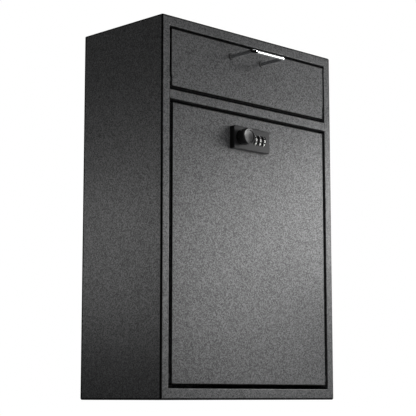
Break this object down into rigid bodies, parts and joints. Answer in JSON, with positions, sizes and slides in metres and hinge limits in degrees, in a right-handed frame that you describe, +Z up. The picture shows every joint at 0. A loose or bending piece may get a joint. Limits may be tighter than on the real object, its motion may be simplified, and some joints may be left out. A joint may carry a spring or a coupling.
{
  "type": "locking deposit box",
  "caption": "Black steel wall deposit box with a tilting hopper and wire pull above a drop-down door held by a combination cam lock with a round knob.",
  "frame": {"origin": "centre of the cabinet's base, on the surface that it stands on", "axes": "+Z up, front with the hopper and the door towards -Y, back with the wall holes towards +Y, +X to the right seen from the front"},
  "size_m": [0.275, 0.1683, 0.41],
  "materials": {
    "powder_coat": "fine textured black powder coat on sheet steel",
    "chrome_rod": "polished chrome plate",
    "lock_black": "smooth satin black on die-cast zinc",
    "dial_black": "moulded black plastic with white numerals",
    "zinc_plate": "bright zinc-plated steel",
    "black_oxide": "oiled black oxide on turned steel",
    "spring_steel": "bare spring steel"
  },
  "bodies": {
    "cabinet": {"cabinet_shell": "powder_coat", "mid_rail": "powder_coat", "back_panel": "powder_coat", "anti_fish_baffle": "powder_coat", "door_stop_left": "powder_coat", "door_stop_right": "powder_coat", "hopper_stop_left": "powder_coat", "hopper_stop_right": "powder_coat", "door_pivot_left": "black_oxide", "door_pivot_right": "black_oxide", "hopper_pivot_left": "black_oxide", "hopper_pivot_right": "black_oxide", "pivot_nuts": "zinc_plate"},
    "hopper": {"hopper_panel": "powder_coat", "hopper_tray": "powder_coat", "hopper_cheek_left": "powder_coat", "hopper_cheek_right": "powder_coat", "pull_handle": "chrome_rod", "handle_nuts": "zinc_plate"},
    "door": {"door_panel": "powder_coat", "lock_case": "lock_black", "lock_back_cover": "lock_black", "lock_clamp": "zinc_plate", "dial_axle": "spring_steel", "detent_springs": "spring_steel"},
    "knob": {"lock_knob": "lock_black", "lock_spindle": "zinc_plate", "lock_cam": "zinc_plate", "cam_nut": "zinc_plate"},
    "dial_1": {"dial_wheel_1": "dial_black"},
    "dial_2": {"dial_wheel_2": "dial_black"},
    "dial_3": {"dial_wheel_3": "dial_black"}
  },
  "joints": [
    {"name": "hopper_tilt", "type": "hinge", "parent": "cabinet", "child": "hopper", "pos_m": [0, -0.059, 0.3399], "axis": [1, 0, 0], "range_deg": [0, 50]},
    {"name": "door_drop", "type": "hinge", "parent": "cabinet", "child": "door", "pos_m": [0, -0.059, 0.024], "axis": [1, 0, 0], "range_deg": [0, 105]},
    {"name": "knob_turn", "type": "hinge", "parent": "door", "child": "knob", "pos_m": [-0.0235, -0.0715, 0.289], "axis": [0, 1, 0], "range_deg": [0, 90]},
    {"name": "dial_1_spin", "type": "hinge", "parent": "door", "child": "dial_1", "pos_m": [-0.0013, -0.0663, 0.289], "axis": [1, 0, 0], "continuous": true},
    {"name": "dial_2_spin", "type": "hinge", "parent": "door", "child": "dial_2", "pos_m": [0.0055, -0.0663, 0.289], "axis": [1, 0, 0], "continuous": true},
    {"name": "dial_3_spin", "type": "hinge", "parent": "door", "child": "dial_3", "pos_m": [0.0123, -0.0663, 0.289], "axis": [1, 0, 0], "continuous": true}
  ]
}
